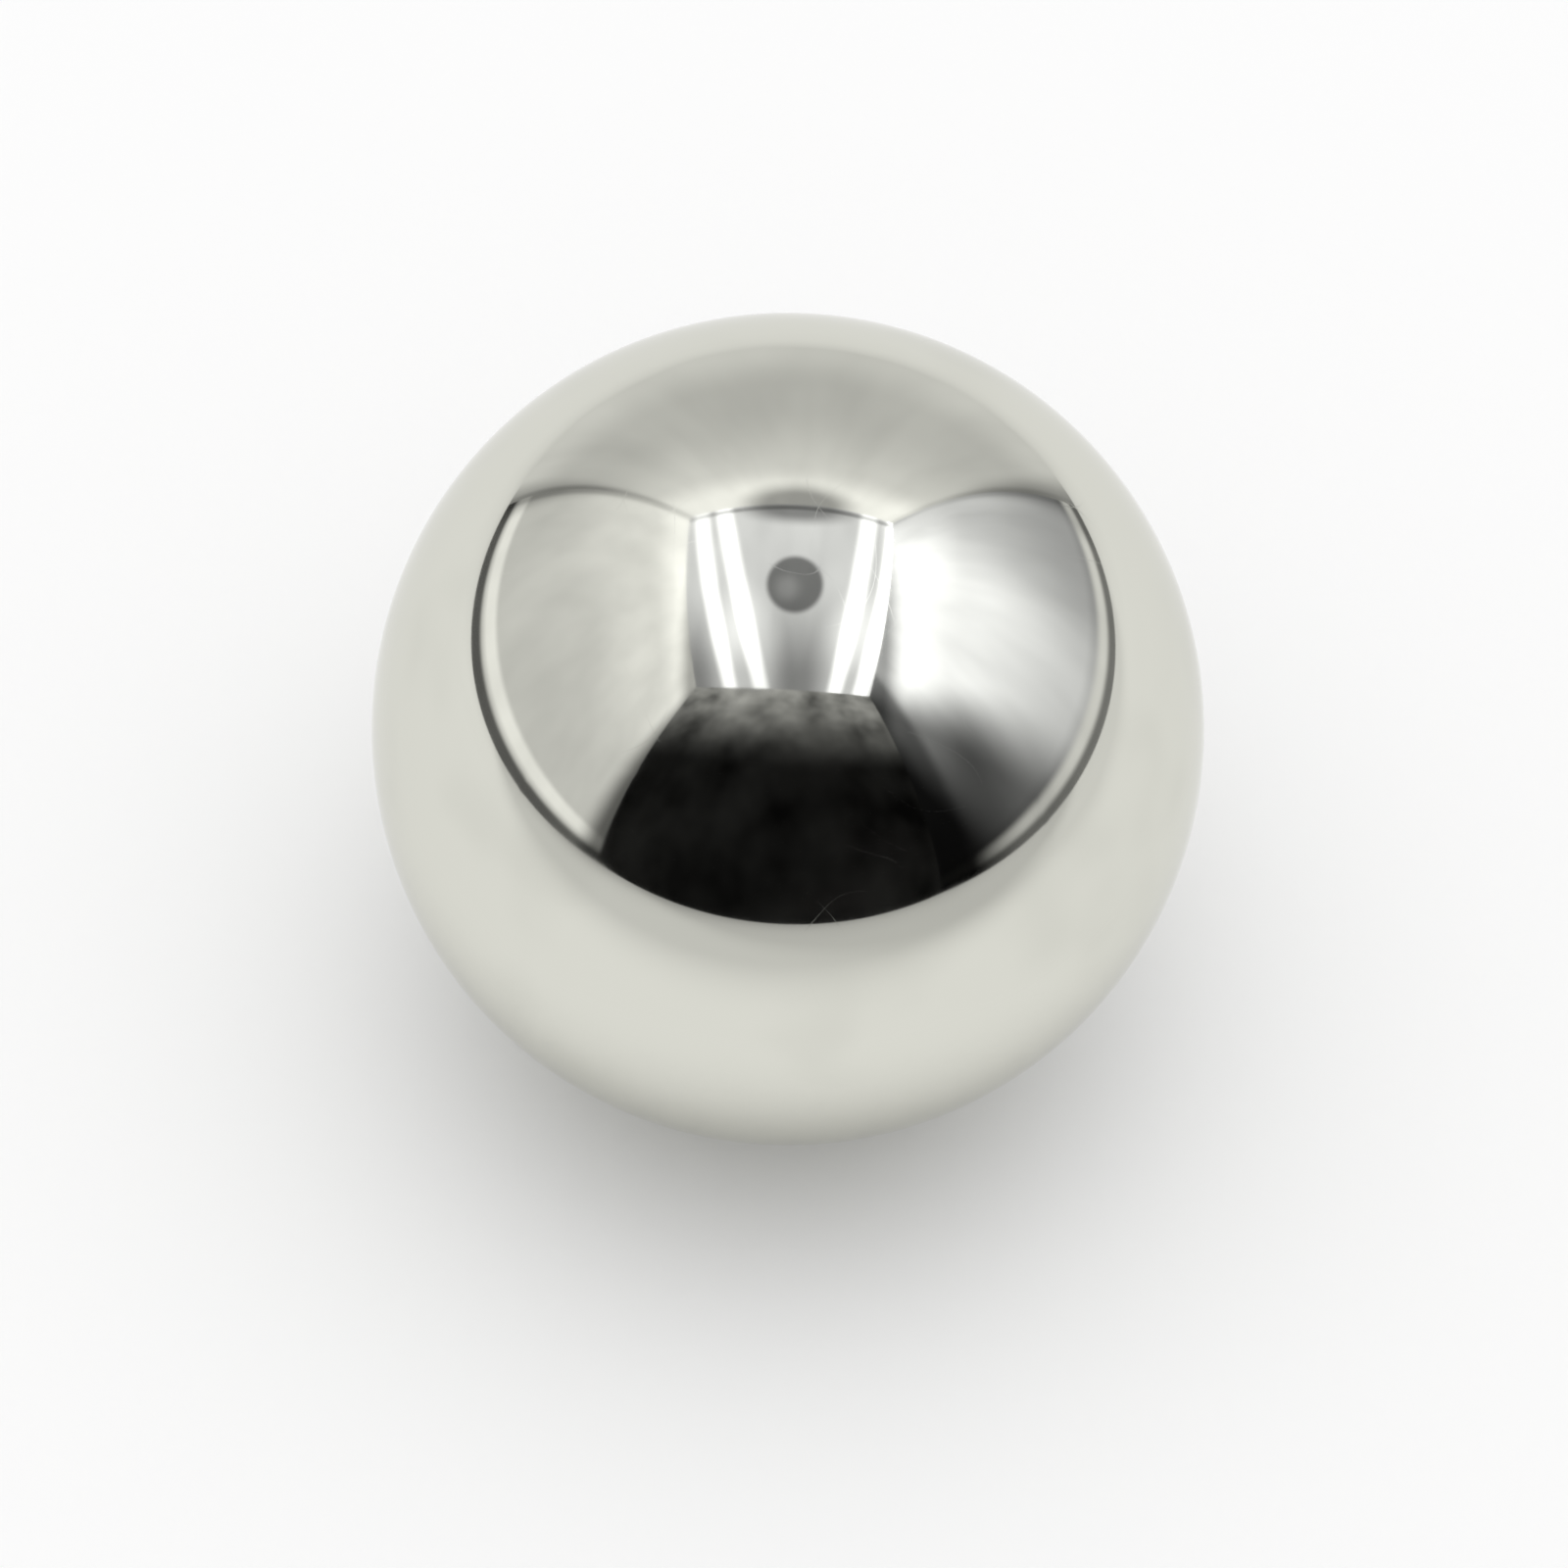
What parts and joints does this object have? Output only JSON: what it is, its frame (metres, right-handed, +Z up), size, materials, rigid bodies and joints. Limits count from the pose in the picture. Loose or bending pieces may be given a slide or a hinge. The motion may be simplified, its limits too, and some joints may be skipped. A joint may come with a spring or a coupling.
{
  "type": "steel ball",
  "caption": "Solid steel ball with a plain, mirror-polished surface, that rolls, bears loads or closes a seat.",
  "frame": {"origin": "centre of the ball", "axes": "+Z up, away from what the ball lies on; a ball is the same about every axis, so X and Y point nowhere in particular"},
  "size_m": [0.012, 0.012, 0.012],
  "materials": {
    "bright_steel": "polished"
  },
  "bodies": {
    "root": {"ball": "bright_steel"}
  },
  "joints": []
}
